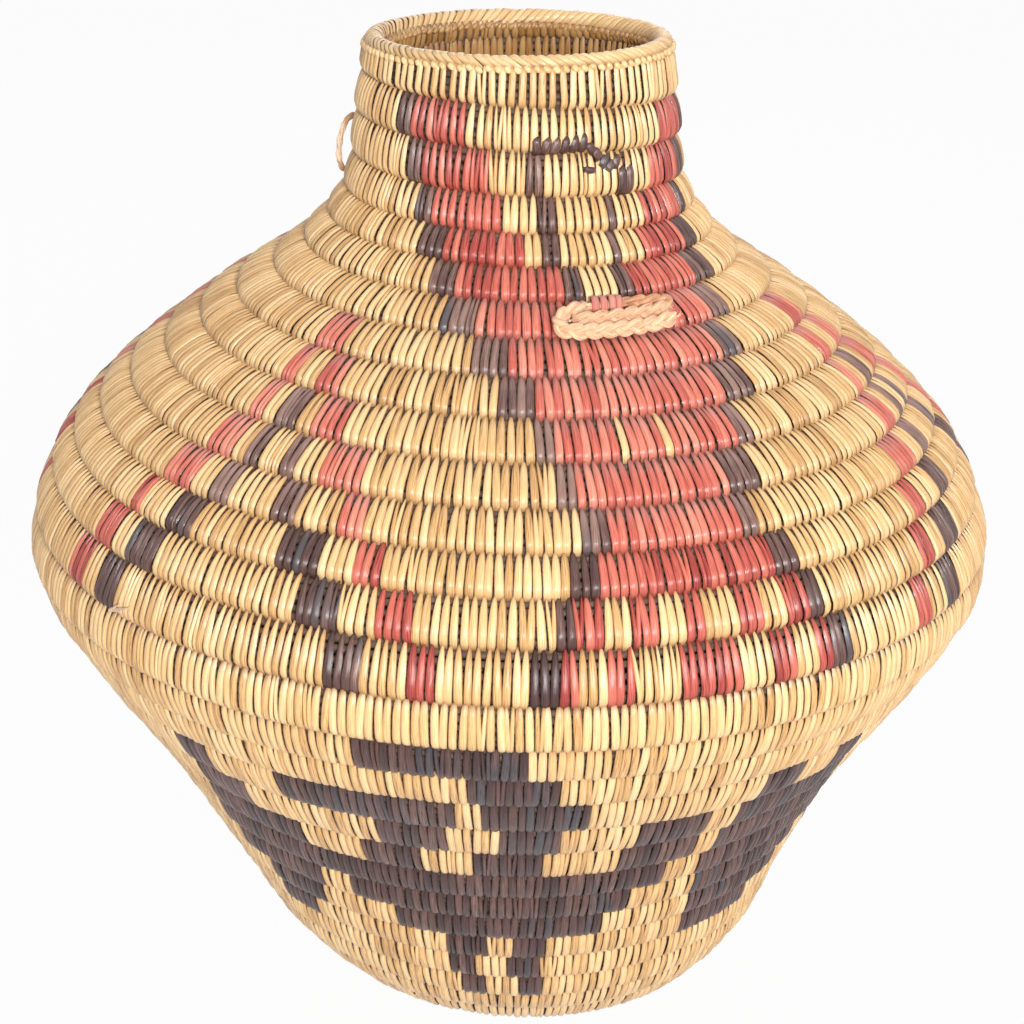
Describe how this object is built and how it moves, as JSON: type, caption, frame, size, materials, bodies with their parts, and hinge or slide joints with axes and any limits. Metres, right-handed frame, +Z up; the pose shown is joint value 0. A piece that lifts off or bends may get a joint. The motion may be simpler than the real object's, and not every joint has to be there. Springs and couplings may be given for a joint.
{
  "type": "coiled olla basket",
  "caption": "Coiled storage basket of olla shape: wide shoulder, narrow neck with a braided rim, flat base and two braided carrying loops near the neck.",
  "frame": {"origin": "middle of the flat base, on the surface that the basket stands on", "axes": "+Z up through the mouth, -Y towards the viewer, +X to the viewer's right"},
  "size_m": [0.3052, 0.3053, 0.31],
  "materials": {
    "coil_splint": "smooth split wood, natural straw colour, dyed dark and red in the pattern",
    "rim_splint": "smooth split wood, braided",
    "red_splint": "smooth split wood dyed red",
    "braided_strap": "matt braided plant fibre"
  },
  "bodies": {
    "basket": {"coil_01": "coil_splint", "coil_02": "coil_splint", "coil_03": "coil_splint", "coil_04": "coil_splint", "coil_05": "coil_splint", "coil_06": "coil_splint", "coil_07": "coil_splint", "coil_08": "coil_splint", "coil_09": "coil_splint", "coil_10": "coil_splint", "coil_11": "coil_splint", "coil_12": "coil_splint", "coil_13": "coil_splint", "coil_14": "coil_splint", "coil_15": "coil_splint", "coil_16": "coil_splint", "coil_17": "coil_splint", "coil_18": "coil_splint", "coil_19": "coil_splint", "coil_20": "coil_splint", "coil_21": "coil_splint", "coil_22": "coil_splint", "coil_23": "coil_splint", "coil_24": "coil_splint", "coil_25": "coil_splint", "coil_26": "coil_splint", "coil_27": "coil_splint", "coil_28": "coil_splint", "coil_29": "coil_splint", "coil_30": "coil_splint", "coil_31": "coil_splint", "coil_32": "coil_splint", "coil_33": "coil_splint", "coil_34": "coil_splint", "coil_tail": "coil_splint", "rim_braid": "rim_splint", "coil_start": "coil_splint", "loop_keeper": "red_splint"},
    "front_loop": {"front_loop": "braided_strap"},
    "side_loop": {"side_loop": "braided_strap"}
  },
  "joints": [
    {"name": "front_loop_swing", "type": "hinge", "parent": "basket", "child": "front_loop", "pos_m": [0.02505, -0.06527, 0.24425], "axis": [-0.9336, -0.3584, 0], "range_deg": [0, 75]},
    {"name": "side_loop_swing", "type": "hinge", "parent": "basket", "child": "side_loop", "pos_m": [-0.04917, 0.01135, 0.28098], "axis": [-0.2099, 0.0485, -0.9765], "range_deg": [-40, 40], "stiffness_Nm_per_rad": 0.0005}
  ]
}
